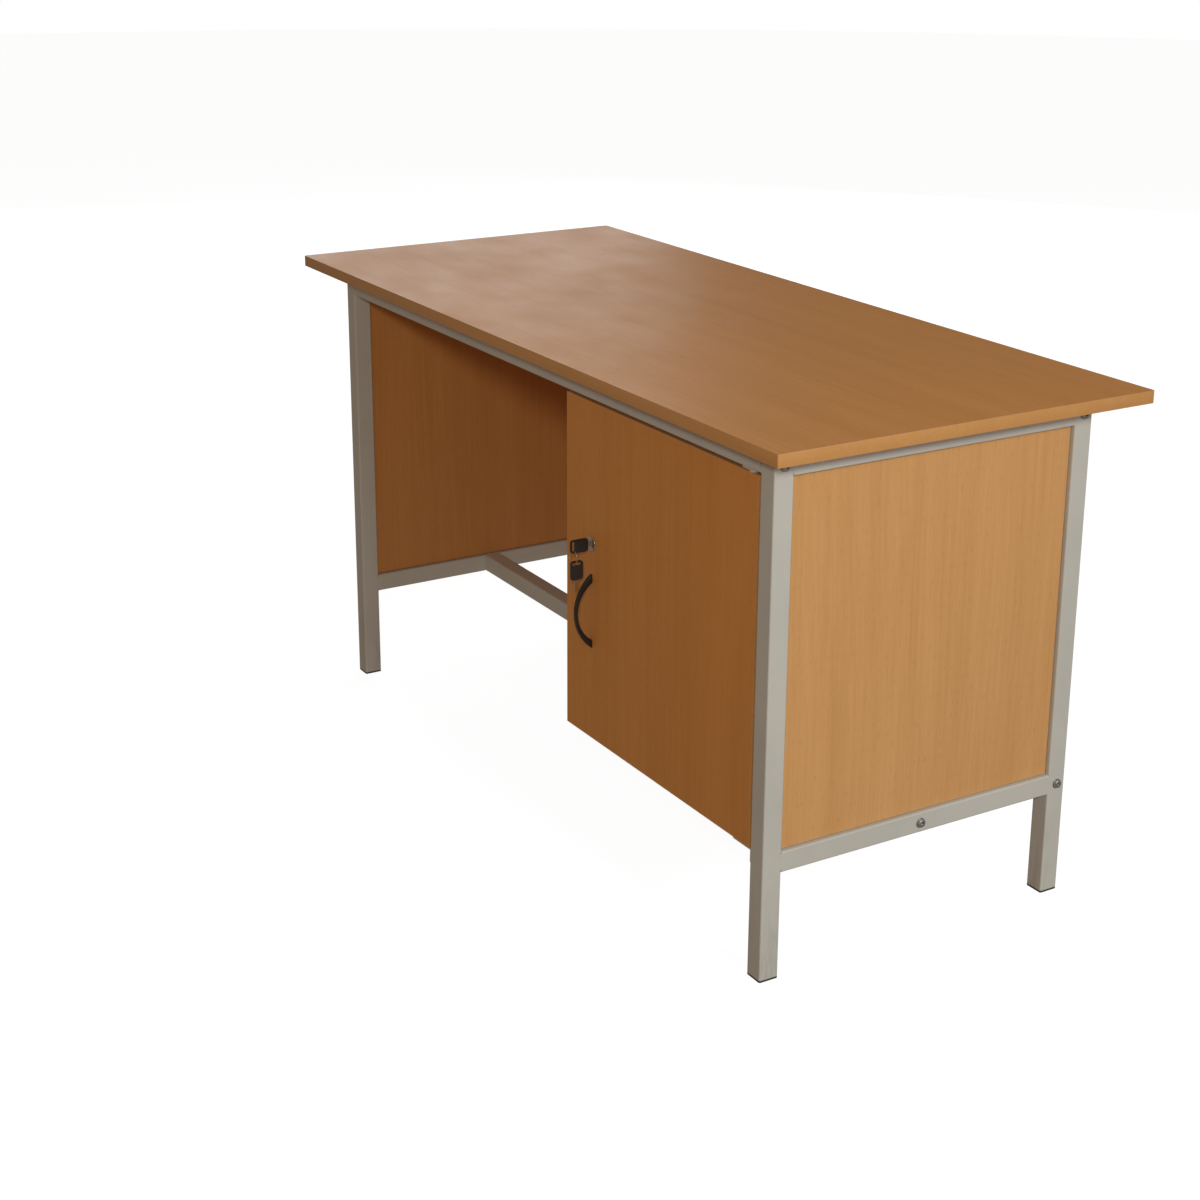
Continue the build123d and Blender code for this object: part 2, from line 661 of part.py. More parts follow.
with BuildPart() as key_ring:
    with Locations(Plane(origin=(lock_x, ring_y, ring_z), z_dir=(0, 1, 0))):
        Torus(ring_r, ring_wire)
finish(key_ring.part, "key_ring")

print(f"frame x {left} to {right}, y {front} to {rear}")
print(f"door x {door_left} to {door_right}, z {door_bottom} to {door_top}")
print(f"door pivot {pivot_x}, {pivot_y}; lock {lock_x}, {lock_height}; ring pivot z {pivot_z}")
print(f"side panel to {side_right}, end panel from {end_inner}, modesty from {modesty_front}")
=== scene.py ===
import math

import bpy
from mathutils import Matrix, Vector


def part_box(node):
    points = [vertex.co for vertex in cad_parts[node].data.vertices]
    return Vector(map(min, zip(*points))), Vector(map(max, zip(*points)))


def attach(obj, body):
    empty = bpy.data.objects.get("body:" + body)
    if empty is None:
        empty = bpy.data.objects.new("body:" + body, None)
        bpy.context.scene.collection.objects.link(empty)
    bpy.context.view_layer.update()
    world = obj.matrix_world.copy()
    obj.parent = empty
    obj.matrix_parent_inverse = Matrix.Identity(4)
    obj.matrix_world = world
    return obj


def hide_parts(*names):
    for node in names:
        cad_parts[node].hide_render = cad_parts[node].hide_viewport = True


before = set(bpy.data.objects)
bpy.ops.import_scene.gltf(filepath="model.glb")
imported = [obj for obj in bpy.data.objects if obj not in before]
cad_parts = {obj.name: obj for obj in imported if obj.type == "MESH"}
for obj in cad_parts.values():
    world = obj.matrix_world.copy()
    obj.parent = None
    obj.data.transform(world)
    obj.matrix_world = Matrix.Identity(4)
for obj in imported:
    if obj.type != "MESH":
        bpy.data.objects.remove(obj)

# %% [markdown]
# # A teacher's desk
# The desk is a beech-faced top on a frame of square steel tube, with a lockable
# cupboard at one end. Its solid model is already loaded: every node is an object at
# the origin, with its place in its mesh. What is missing is how it looks, so this
# lesson adds the light, the finishes and the small things that a solid model leaves out.

scene = bpy.context.scene
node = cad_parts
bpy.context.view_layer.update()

# %% [markdown]
# ## The camera
# A desk is seen standing up, from the user's side and the cupboard end, so that the top,
# the door and the end panel all show. A long lens keeps the legs nearly parallel. The
# camera could be aimed with three Euler angles. It is placed and turned by an azimuth
# and an elevation instead, which are easier to picture.

# %% Camera
azimuth, elevation, roll = math.radians(58.89), math.radians(17.52), math.radians(-0.35)
backwards = Vector((math.sin(azimuth) * math.cos(elevation),
                    -math.cos(azimuth) * math.cos(elevation), math.sin(elevation)))
lens = bpy.data.cameras.new("camera")
lens.lens, lens.sensor_width = 62.57, 36
lens.shift_x, lens.shift_y = -0.0105, -0.085
lens.clip_start, lens.clip_end = 0.05, 60
camera = bpy.data.objects.new("camera", lens)
scene.collection.objects.link(camera)
camera.location = (2.6736, -1.7175, 1.4524)
facing = (-backwards).to_track_quat("-Z", "Y").to_matrix()
camera.rotation_euler = (facing @ Matrix.Rotation(-roll, 3, "Z")).to_euler()
scene.camera = camera
print("camera", round(camera.location.length, 2), "m from the desk's middle")

# %% [markdown]
# ## The studio
# The desk stands on a pale floor in front of a white backdrop. One large lamp high on
# the cupboard end is the main light, so the end panel is the brightest face and the
# door lies in soft shade. The room's own light is dimmer and a little warm. The
# backdrop is white to look at but lights the desk only as much as that room does,
# which keeps a white haze off the top where it is seen at a low angle.

# %% Backdrop and room light
scene.view_settings.view_transform = "Standard"
world = bpy.data.worlds.new("studio")
scene.world = world
world.use_nodes = True
tree = world.node_tree
room = tree.nodes["Background"]
room.inputs["Color"].default_value = (1.0, 0.77, 0.59, 1)
room.inputs["Strength"].default_value = 0.215
backdrop = tree.nodes.new("ShaderNodeBackground")
backdrop.inputs["Color"].default_value = (1, 1, 1, 1)
path = tree.nodes.new("ShaderNodeLightPath")
choose = tree.nodes.new("ShaderNodeMixShader")
tree.links.new(path.outputs["Is Camera Ray"], choose.inputs[0])
tree.links.new(room.outputs[0], choose.inputs[1])
tree.links.new(backdrop.outputs[0], choose.inputs[2])
tree.links.new(choose.outputs[0], tree.nodes["World Output"].inputs[0])
print("room light", room.inputs["Strength"].default_value)

# %% [markdown]
# ### The floor
# The floor should run out of sight without a horizon, and keep only the soft shadow under
# the desk. A wide disc of dull paint does this. It glows a little, so that it meets the
# backdrop at the same white, and it throws no light of its own on the desk.

# %% Floor
floor_radius = 14
bpy.ops.object.select_all(action="DESELECT")
bpy.ops.mesh.primitive_circle_add(vertices=96, radius=floor_radius, fill_type="NGON")
floor = bpy.context.object
floor.name = "studio_floor"
paint = bpy.data.materials.new("studio_floor")
paint.use_nodes = True
shader = paint.node_tree.nodes["Principled BSDF"]
for label, value in {"Base Color": (0.20, 0.23, 0.27, 1), "Roughness": 0.9,
                     "Specular IOR Level": 0.1, "Emission Color": (1, 1, 1, 1),
                     "Emission Strength": 0.93}.items():
    shader.inputs[label].default_value = value
floor.data.materials.append(paint)
floor.visible_diffuse = False
floor.visible_glossy = False
print("floor radius", floor_radius, "m")

# %% [markdown]
# ### The lamps
# Four square lamps light the desk. The main lamp stands off the cupboard end, the sheen
# lies along the top from the far end, and two weaker ones lift the front and the back.
# Those two are kept out of glossy faces, where they would show as hard white patches.


# %% Lamps
def lamp(name, place, aim, size, power, colour, mirrored=True):
    """A square lamp at a place, aimed at a point; glossy faces can be kept from it."""
    box = bpy.data.lights.new(name, "AREA")
    box.size, box.energy, box.color = size, power, colour
    holder = bpy.data.objects.new(name, box)
    scene.collection.objects.link(holder)
    holder.visible_glossy = mirrored
    holder.location = place
    holder.rotation_euler = (Vector(aim) - Vector(place)).to_track_quat("-Z", "Y").to_euler()
    print(name, power, "W")


lamp("main_lamp", place=(5.2, 0.2, 2.9), aim=(0.2, 0, 0.4), size=1.6, power=131,
     colour=(0.93, 0.98, 1.0))
lamp("sheen", place=(-5.0, 1.9, 1.8), aim=(-0.4, 0, 0.7), size=2.2, power=23,
     colour=(1.0, 0.98, 0.95))
lamp("front_fill", place=(3.2, -2.2, 2.0), aim=(-0.4, 0, 0.5), size=0.35, power=36,
     colour=(1.0, 0.93, 0.84), mirrored=False)
lamp("back_fill", place=(-3.4, 4.6, 0.95), aim=(0, 0, 0.4), size=2.0, power=120,
     colour=(1.0, 0.98, 0.95), mirrored=False)

# %% [markdown]
# ## Groups that several finishes share
# Wood grain, worn edges and handling marks turn up on more than one piece, so each is
# made once as a node group with named inputs and outputs. A group gives out colours,
# masks and heights only; the shader that uses them stays in each material.


# %% How a group is made
def new_group(name, inputs, outputs):
    """An empty node group with its sockets; returns the group and its two end nodes."""
    group = bpy.data.node_groups.new(name, "ShaderNodeTree")
    for label, kind, value in inputs:
        socket = group.interface.new_socket(name=label, in_out="INPUT", socket_type=kind)
        if value is not None:
            socket.default_value = value
    for label, kind in outputs:
        group.interface.new_socket(name=label, in_out="OUTPUT", socket_type=kind)
    start = group.nodes.new("NodeGroupInput")
    end = group.nodes.new("NodeGroupOutput")
    print("group", name, "takes", [i[0] for i in inputs], "gives", [o[0] for o in outputs])
    return group, start, end


def add_node(tree, kind, inputs=(), **settings):
    """A node with its settings and inputs; an input is a value or another node's socket."""
    made = tree.nodes.new(kind)
    for key, value in settings.items():
        setattr(made, key, value)
    for key, value in dict(inputs).items():
        if isinstance(value, bpy.types.NodeSocket):
            tree.links.new(value, made.inputs[key])
        else:
            made.inputs[key].default_value = value
    return made


def maths(tree, operation, first, second=0.5, third=0.5):
    """One arithmetic step; gives its output socket."""
    return add_node(tree, "ShaderNodeMath", {0: first, 1: second, 2: third},
                    operation=operation).outputs[0]


def ramp(tree, value, low, high, to_low=0.0, to_high=1.0):
    """A value rescaled and clamped from one range to another."""
    return add_node(tree, "ShaderNodeMapRange",
                    {"Value": value, "From Min": low, "From Max": high,
                     "To Min": to_low, "To Max": to_high}).outputs[0]


def stretched(tree, vector, scale):
    """Coordinates with their own scale along each axis."""
    return add_node(tree, "ShaderNodeMapping", {"Vector": vector, "Scale": scale},
                    vector_type="POINT").outputs[0]


def blend(tree, factor, first, second):
    """Two colours mixed by a factor; gives the colour socket."""
    return add_node(tree, "ShaderNodeMix", {0: factor, 6: first, 7: second},
                    data_type="RGBA").outputs[2]


def noise(tree, vector, scale, detail=3.0, rough=0.5):
    """Plain noise; gives the value socket."""
    return add_node(tree, "ShaderNodeTexNoise",
                    {"Vector": vector, "Scale": scale, "Detail": detail,
                     "Roughness": rough}).outputs["Fac"]


# %% [markdown]
# ### Beech
# Printed beech board has three layers of figure along the grain: broad soft bands a few
# centimetres wide, fine streaks a millimetre or two wide, and the short dark flecks that
# tell beech from other pale woods. A picture of wood could be wrapped round the board.
# Noise stretched along the grain is used instead, because it never repeats and has no
# seams. The group takes coordinates whose X runs along the grain.

# %% Beech grain group
grain, g_in, g_out = new_group(
    "beech grain",
    [("Vector", "NodeSocketVector", None),
     ("Pale", "NodeSocketColor", (0.62, 0.35, 0.155, 1)),
     ("Dark", "NodeSocketColor", (0.47, 0.235, 0.085, 1)),
     ("Fleck colour", "NodeSocketColor", (0.30, 0.135, 0.045, 1)),
     ("Fleck amount", "NodeSocketFloat", 0.3)],
    [("Colour", "NodeSocketColor"), ("Height", "NodeSocketFloat"),
     ("Flecks", "NodeSocketFloat")])
where = g_in.outputs["Vector"]
wander = noise(grain, stretched(grain, where, (0.8, 3.0, 3.0)), 1.0, 2.0)
bent = add_node(grain, "ShaderNodeVectorMath",
                {0: where, 1: add_node(grain, "ShaderNodeCombineXYZ",
                                       {"Y": maths(grain, "MULTIPLY", wander, 0.05),
                                        "Z": maths(grain, "MULTIPLY", wander, 0.05)}
                                       ).outputs[0]}, operation="ADD").outputs[0]
broad = noise(grain, stretched(grain, bent, (0.5, 9.0, 9.0)), 2.6, 3.0, 0.55)
streaks = noise(grain, stretched(grain, bent, (1.1, 75.0, 75.0)), 3.0, 5.0, 0.62)
fine = noise(grain, stretched(grain, bent, (6.0, 420.0, 420.0)), 3.0, 2.0, 0.6)
figure = maths(grain, "MULTIPLY_ADD", maths(grain, "SUBTRACT", broad, 0.5), 0.95, 0.5)
figure = maths(grain, "MULTIPLY_ADD", maths(grain, "SUBTRACT", streaks, 0.5), 1.05, figure)
figure = maths(grain, "MULTIPLY_ADD", maths(grain, "SUBTRACT", fine, 0.5), 0.45, figure)
board = blend(grain, figure, g_in.outputs["Pale"], g_in.outputs["Dark"])
cells = add_node(grain, "ShaderNodeTexVoronoi",
                 {"Vector": stretched(grain, bent, (55.0, 620.0, 620.0)), "Scale": 1.0},
                 feature="F1")
dash = ramp(grain, cells.outputs["Distance"], 0.12, 0.34, 1.0, 0.0)
chosen = ramp(grain, add_node(grain, "ShaderNodeSeparateColor",
                              {0: cells.outputs["Color"]}).outputs[0], 0.62, 0.72)
flecks = maths(grain, "MULTIPLY", dash, chosen)
marked = blend(grain, maths(grain, "MULTIPLY", flecks, g_in.outputs["Fleck amount"]), board,
               g_in.outputs["Fleck colour"])
grain.links.new(marked, g_out.inputs["Colour"])
grain.links.new(flecks, g_out.inputs["Flecks"])
sunk = maths(grain, "MULTIPLY_ADD", flecks, -0.6, maths(grain, "MULTIPLY", fine, 0.5))
grain.links.new(sunk, g_out.inputs["Height"])
print("beech grain has", len(grain.nodes), "nodes")

# %% [markdown]
# ### Worn edges
# Paint and plastic wear first where two faces meet. A bevel node looks a millimetre or
# two round each point: where its normal leans away from the true one, the point is near
# an edge. Painting a mask by hand would do it too, but would have to be done again for
# every piece.

# %% Worn edge group
worn, w_in, w_out = new_group(
    "worn edges", [("Vector", "NodeSocketVector", None), ("Width", "NodeSocketFloat", 0.0015),
                   ("Patchiness", "NodeSocketFloat", 0.6)],
    [("Edge", "NodeSocketFloat")])
rounded = add_node(worn, "ShaderNodeBevel", {"Radius": w_in.outputs["Width"]}, samples=6)
true_normal = add_node(worn, "ShaderNodeNewGeometry").outputs["Normal"]
lean = add_node(worn, "ShaderNodeVectorMath", {0: rounded.outputs[0], 1: true_normal},
                operation="DOT_PRODUCT").outputs["Value"]
edge = ramp(worn, lean, 0.985, 0.86)
patches = ramp(worn, noise(worn, w_in.outputs["Vector"], 38.0, 4.0, 0.65), 0.38, 0.66)
kept = maths(worn, "MULTIPLY_ADD", maths(worn, "SUBTRACT", patches, 1.0),
             w_in.outputs["Patchiness"], 1.0)
worn.links.new(maths(worn, "MULTIPLY", edge, kept), w_out.inputs["Edge"])

# %% [markdown]
# ### Handling marks
# Hands and cloths leave large soft patches that change the gloss, never the shape, so
# this group gives a value for the roughness alone. Fine specks break up the patches.

# %% Handling marks group
marks, m_in, m_out = new_group(
    "handling marks", [("Vector", "NodeSocketVector", None), ("Lowest", "NodeSocketFloat", 0.3),
                       ("Highest", "NodeSocketFloat", 0.5)],
    [("Roughness", "NodeSocketFloat")])
smears = noise(marks, stretched(marks, m_in.outputs["Vector"], (5.0, 7.0, 6.0)), 1.4, 5.0, 0.6)
specks = noise(marks, m_in.outputs["Vector"], 260.0, 2.0, 0.5)
speck_share = 0.12
gloss = maths(marks, "MULTIPLY_ADD", specks, speck_share, ramp(marks, smears, 0.3, 0.7))
spread = ramp(marks, gloss, 0.0, 1.0 + speck_share, m_in.outputs["Lowest"],
              m_in.outputs["Highest"])
marks.links.new(spread, m_out.inputs["Roughness"])

# %% [markdown]
# ## Finishes
# Every finish starts from object coordinates, which are metres in the desk's own frame,
# so a streak a millimetre wide is a millimetre wide on every board.


# %% How a material is started
def finish(name, **sockets):
    """A material with plain values on its shader; returns it, its tree, shader and coords."""
    made = bpy.data.materials.new(name)
    made.use_nodes = True
    nodes = made.node_tree
    surface = nodes.nodes["Principled BSDF"]
    for label, value in sockets.items():
        surface.inputs[label.replace("_", " ")].default_value = value
    coords = add_node(nodes, "ShaderNodeTexCoord").outputs["Object"]
    return made, nodes, surface, coords


def bump(nodes, surface, height, strength, distance):
    """Fine relief on a surface."""
    made = add_node(nodes, "ShaderNodeBump",
                    {"Height": height, "Strength": strength, "Distance": distance})
    nodes.links.new(made.outputs[0], surface.inputs["Normal"])


def use(tree, group, **inputs):
    """A group placed in a material, with its inputs set or linked."""
    placed = tree.nodes.new("ShaderNodeGroup")
    placed.node_tree = group
    for label, value in inputs.items():
        socket = placed.inputs[label.replace("_", " ")]
        if isinstance(value, bpy.types.NodeSocket):
            tree.links.new(value, socket)
        else:
            socket.default_value = value
    return placed


def rub_edges(nodes, surface, coords, colour, rubbed, amount, width, patchiness):
    """The finish's colour, paler where its edges are worn, linked to the shader."""
    edges = use(nodes, worn, Vector=coords, Width=width, Patchiness=patchiness)
    share = maths(nodes, "MULTIPLY", edges.outputs["Edge"], amount)
    nodes.links.new(blend(nodes, share, colour, (*rubbed, 1)), surface.inputs["Base Color"])


def handled(nodes, surface, coords, lowest, highest):
    """Roughness between two values, patchy where hands and cloths have been."""
    hands = use(nodes, marks, Vector=coords, Lowest=lowest, Highest=highest)
    nodes.links.new(hands.outputs["Roughness"], surface.inputs["Roughness"])


def along_grain(nodes, coords, way, shift):
    """Coordinates turned so that X runs along the grain, and moved along the pattern."""
    turn = {"X": (0, 0, 0), "Z": (0, math.radians(90), 0)}[way]
    return add_node(nodes, "ShaderNodeMapping",
                    {"Vector": coords, "Rotation": turn, "Location": shift}).outputs[0]


# %% [markdown]
# ### Beech-faced board
# The same board makes the top, the panels, the door and the shelf. On the top its grain
# runs along the desk, and on everything upright it runs up and down, so the coordinates
# are turned before they reach the grain. Each board is also moved along its pattern, or
# neighbouring boards would show one drawing running through both. Each board's tint
# paints light and shade into its colour. The lit panel at the cupboard end is paler and
# bluer as a painted sheen, the left end panel and the door are darker as painted shade,
# and the top is a little warmer.


# %% Beech boards
def with_painted_light(colour, painted_light_tint):
    """A colour times a board's tint of painted light and shade, with its alpha."""
    return (*[c * t for c, t in zip(colour, painted_light_tint)], 1)


def beech(name, way, shift, painted_light_tint, rough):
    """Beech-faced board with its grain along X or Z, and a tint of painted light and shade."""
    made, nodes, surface, coords = finish(name, Specular_IOR_Level=0.42)
    figure = use(nodes, grain, Vector=along_grain(nodes, coords, way, shift),
                 Pale=with_painted_light((0.76, 0.375, 0.115), painted_light_tint),
                 Dark=with_painted_light((0.61, 0.280, 0.072), painted_light_tint))
    rub_edges(nodes, surface, coords, figure.outputs["Colour"], (0.82, 0.47, 0.19),
              amount=0.35, width=0.0012, patchiness=0.7)
    handled(nodes, surface, coords, *rough)
    bump(nodes, surface, figure.outputs["Height"], 0.12, 0.0004)
    return made


# The tints paint light and shade into the boards' colour: the lit right end panel is paler and
# bluer as a painted sheen, and the left end panel and the door are darker as painted shade.
no_painted_light, matt, worn_smooth = (1.0, 1.0, 1.0), (0.44, 0.54), (0.36, 0.45)
boards = {  # grain direction, place in the pattern, tint, roughness
    "desk_top": ("X", (0.3, 0.1, 0.0), (0.98, 0.93, 0.85), worn_smooth),
    "left_end_panel": ("Z", (0.0, 0.7, 0.2), (0.84, 0.79, 0.82), matt),
    "right_end_panel": ("Z", (1.3, 0.2, 0.9), (0.93, 1.04, 1.37), matt),
    "modesty_panel": ("Z", (2.1, 0.4, 0.1), no_painted_light, matt),
    "cupboard_side_panel": ("Z", (0.6, 1.1, 0.5), no_painted_light, matt),
    "cupboard_floor": ("X", (3.0, 0.9, 0.2), no_painted_light, matt),
    "cupboard_shelf": ("X", (1.7, 2.2, 0.6), no_painted_light, matt),
    "door_panel": ("Z", (2.6, 1.6, 1.2), (0.98, 0.86, 0.68), matt)}
for name, (way, shift, painted_light_tint, rough) in boards.items():
    node[name].data.materials[0] = beech(f"beech_{name}", way, shift, painted_light_tint, rough)
print(len(boards), "boards faced")

# %% [markdown]
# ### Plastic edge band
# The raw edges are covered by a thin plastic strip printed to match. It has the beech's
# colours but no pores, and being plastic it shines a little more.


# %% Edge band
def banding(name, way, shift):
    """Printed plastic strip: the board's figure with fewer flecks and a smoother face."""
    made, nodes, surface, coords = finish(name, Specular_IOR_Level=0.45)
    figure = use(nodes, grain, Vector=along_grain(nodes, coords, way, shift),
                 Pale=(0.64, 0.33, 0.117, 1), Dark=(0.54, 0.26, 0.083, 1), Fleck_amount=0.12)
    rub_edges(nodes, surface, coords, figure.outputs["Colour"], (0.84, 0.50, 0.22),
              amount=0.4, width=0.001, patchiness=0.8)
    handled(nodes, surface, coords, 0.3, 0.42)
    bump(nodes, surface, noise(nodes, coords, 900.0, 2.0), 0.05, 0.0002)
    return made


top_band = banding("top_banding", "X", (1.9, 0.5, 0.3))
door_band = banding("door_banding", "Z", (0.4, 2.5, 0.8))
node["top_edge_bands"].data.materials[0] = top_band
node["door_edge_bands"].data.materials[0] = door_band
print("bands on the top and the door")

# %% [markdown]
# ### Powder coat
# The tube is sprayed with dry powder and baked, which leaves a tough skin with the fine
# dimpling of an orange peel. It chips only at the corners of the tube and near the feet,
# where shoes and mops reach it, so wear and grime both grow towards the floor.


# %% Powder coat
def powder_coat(name, colour):
    """Light grey powder coat: dimples, rubbed corners and some grime near the floor."""
    made, nodes, surface, coords = finish(name, Specular_IOR_Level=0.4)
    cloud = noise(nodes, coords, 5.0, 4.0, 0.6)
    skin = blend(nodes, ramp(nodes, cloud, 0.3, 0.7), (*[c * 0.94 for c in colour], 1),
                 (*[min(1, c * 1.05) for c in colour], 1))
    height = add_node(nodes, "ShaderNodeSeparateXYZ", {0: coords}).outputs["Z"]
    low = ramp(nodes, height, 0.16, 0.0)
    scuffs = ramp(nodes, noise(nodes, stretched(nodes, coords, (60.0, 60.0, 9.0)), 1.0, 5.0,
                               0.7), 0.5, 0.72)
    grime = maths(nodes, "MULTIPLY", maths(nodes, "MULTIPLY", low, scuffs), 0.45)
    dirty = blend(nodes, grime, skin, (0.20, 0.18, 0.15, 1))
    rub_edges(nodes, surface, coords, dirty, (0.66, 0.66, 0.63),
              amount=0.30, width=0.0012, patchiness=0.95)
    handled(nodes, surface, coords, 0.36, 0.52)
    peel = noise(nodes, coords, 620.0, 2.0, 0.5)
    bump(nodes, surface, peel, 0.22, 0.0003)
    return made


grey = powder_coat("grey_powder_coat", (0.55, 0.545, 0.50))
tubes = ["front_left_leg", "front_right_leg", "rear_left_leg", "rear_right_leg",
         "left_end_top_rail", "left_end_bottom_rail", "right_end_top_rail",
         "right_end_bottom_rail", "front_top_rail", "rear_top_rail", "centre_stretcher",
         "rear_bottom_rail", "fixing_tabs", "upper_pivot_bracket", "lower_pivot_bracket"]
for name in tubes:
    node[name].data.materials[0] = grey
print(len(tubes), "painted steel pieces")

# %% [markdown]
# ### Bare metals
# Screws, bolts, brackets and the cam are zinc plated: grey, slightly blue, with a dull
# crystalline bloom. The lock's face, its barrel, the key blades and the ring are nickel
# plated: warmer, brighter and polished, with hair-fine scratches.


# %% Plated metals
def plated(name, colour, rough, bloom, scratches):
    """Plated steel: a metal with a mottled bloom and fine scratches."""
    made, nodes, surface, coords = finish(name, Metallic=1.0)
    mottle = noise(nodes, coords, 160.0, 5.0, 0.65)
    tone = blend(nodes, maths(nodes, "MULTIPLY", ramp(nodes, mottle, 0.3, 0.7), bloom),
                 (*colour, 1), (*[c * 0.62 for c in colour], 1))
    nodes.links.new(tone, surface.inputs["Base Color"])
    lines = noise(nodes, stretched(nodes, coords, (900.0, 90.0, 900.0)), 1.0, 3.0, 0.6)
    hazed = maths(nodes, "MULTIPLY_ADD", lines, scratches, rough)
    nodes.links.new(hazed, surface.inputs["Roughness"])
    bump(nodes, surface, lines, 0.1, 0.0001)
    return made


zinc = plated("zinc_plate", (0.58, 0.59, 0.60), 0.34, 0.8, 0.25)
nickel = plated("nickel_plate", (0.72, 0.68, 0.61), 0.16, 0.35, 0.18)
for name in ("rail_end_plates", "bolt_washers", "frame_bolts", "tab_screws",
             "floor_rail_screws", "carcass_screws", "side_panel_brackets", "bracket_screws",
             "strike_plate", "strike_screws", "handle_screws", "lock_nut", "lock_cam",
             "cam_screw"):
    node[name].data.materials[0] = zinc
for name in ("shelf_pins", "lock_body", "lock_barrel", "key_blade", "key_ring",
             "spare_key_blade"):
    node[name].data.materials[0] = nickel
print("zinc and nickel plated")

# %% [markdown]
# ### Plastics and the handle
# The key heads and foot caps are moulded black plastic with a fine spark texture. The
# handle is cast metal with a satin black lacquer, rubbed a little brighter where a hand
# closes round it. The door's bushes are milky nylon.


# %% Moulded plastics
def moulded(name, colour, rough, texture):
    """Moulded plastic with a fine spark texture and pale rubbed edges."""
    made, nodes, surface, coords = finish(name, Specular_IOR_Level=0.5)
    cloud = ramp(nodes, noise(nodes, coords, 30.0, 4.0), 0.3, 0.7, 0.0, 0.3)
    body = blend(nodes, cloud, (*colour, 1), (*[c * 1.6 + 0.01 for c in colour], 1))
    rub_edges(nodes, surface, coords, body, [c + 0.10 for c in colour],
              amount=0.5, width=0.0006, patchiness=0.8)
    handled(nodes, surface, coords, rough - 0.06, rough + 0.1)
    bump(nodes, surface, noise(nodes, coords, 2200.0, 1.0), texture, 0.0002)
    return made


black_plastic = moulded("black_key_plastic", (0.022, 0.021, 0.021), 0.42, 0.3)
foot_plastic = moulded("foot_cap_plastic", (0.045, 0.045, 0.045), 0.6, 0.5)
nylon = moulded("bush_nylon", (0.62, 0.60, 0.55), 0.45, 0.15)
lacquer = moulded("black_handle_lacquer", (0.018, 0.017, 0.017), 0.30, 0.08)
for name, plastic in (("key_head", black_plastic), ("spare_key_head", black_plastic),
                      ("foot_caps", foot_plastic), ("pivot_bushes", nylon),
                      ("door_handle", lacquer)):
    node[name].data.materials[0] = plastic
print("plastics and handle done")

# %% [markdown]
# ## Pieces that the solid model leaves plain
# The solid model has every part's size and place, but some edges on it are dead sharp
# and some small forms are missing. Each piece below starts as a primitive, is shaped
# with ordinary edit-mode tools, and either joins the model or stands in for a node.


# %% Modelling helpers
def start_box(name, low, high):
    """A box between two corners, with its origin at the scene's, left in edit mode."""
    bpy.ops.object.select_all(action="DESELECT")
    middle = [(a + b) / 2 for a, b in zip(low, high)]
    bpy.ops.mesh.primitive_cube_add(size=1, location=middle)
    piece = bpy.context.object
    piece.name = name
    piece.scale = [b - a for a, b in zip(low, high)]
    bpy.ops.object.transform_apply(location=True, rotation=True, scale=True)
    bpy.ops.object.mode_set(mode="EDIT")
    return piece


def pick(piece, kind, test):
    """Selects the faces or edges that pass a test of their middle and direction."""
    bpy.ops.mesh.select_mode(type=kind)
    bpy.ops.mesh.select_all(action="DESELECT")
    bpy.ops.object.mode_set(mode="OBJECT")
    mesh = piece.data
    if kind == "FACE":
        for face in mesh.polygons:
            face.select = test(face.center, face.normal)
    else:
        for line in mesh.edges:
            a, b = (mesh.vertices[v].co for v in line.vertices)
            line.select = test((a + b) / 2, (b - a).normalized())
    bpy.ops.object.mode_set(mode="EDIT")


def close_piece(piece, material, body, smooth=30):
    """Leaves edit mode with the normals outward and the finish and body set."""
    bpy.ops.mesh.select_all(action="SELECT")
    bpy.ops.mesh.normals_make_consistent(inside=False)
    bpy.ops.object.mode_set(mode="OBJECT")
    bpy.ops.object.shade_smooth_by_angle(angle=math.radians(smooth))
    dress(piece, material, body)
    print(piece.name, len(piece.data.polygons), "faces")


def dress(piece, material, body):
    """Finish and body of a finished piece."""
    piece.data.materials.clear()
    piece.data.materials.append(material)
    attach(piece, body)


def cut_out(piece, cutter):
    """Takes a closed shape out of a piece; the shape itself is then thrown away."""
    bpy.ops.object.select_all(action="DESELECT")
    bpy.context.view_layer.objects.active = piece
    piece.select_set(True)
    cut = piece.modifiers.new("cut", "BOOLEAN")
    cut.operation, cut.object, cut.solver = "DIFFERENCE", cutter, "EXACT"
    bpy.ops.object.modifier_apply(modifier=cut.name)
    bpy.data.objects.remove(cutter)


def copy_of(piece, name, move):
    """A copy with its own mesh, moved by a matrix, so that its origin stays at the scene's."""
    twin = piece.copy()
    twin.data = piece.data.copy()
    twin.name = name
    twin.parent = None
    twin.matrix_world = Matrix.Identity(4)
    twin.data.transform(move)
    scene.collection.objects.link(twin)
    return twin


# %% [markdown]
# ### The top's edge band
# The band is glued on, then trimmed flush and its long edges are scraped to a small
# round, which catches a thin line of light. One closed ring is modelled: a box, a hole
# left by deleting two inset faces, and two rounds of bevels.

# %% Edge band of the top
band_low, band_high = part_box("top_edge_bands")
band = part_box("desk_top")[0][0] - band_low[0]
corner_round, long_round = 0.0015, 0.0008
ring = start_box("top_edge_ring", band_low, band_high)
pick(ring, "FACE", lambda at, way: abs(way.z) > 0.9)
bpy.ops.mesh.inset(thickness=band)
bpy.ops.mesh.delete(type="FACE")


def within(at, margin):
    """Whether a point is further than a margin from the band's four outside faces."""
    return (abs(at.x) < band_high[0] - margin
            and band_low[1] + margin < at.y < band_high[1] - margin)


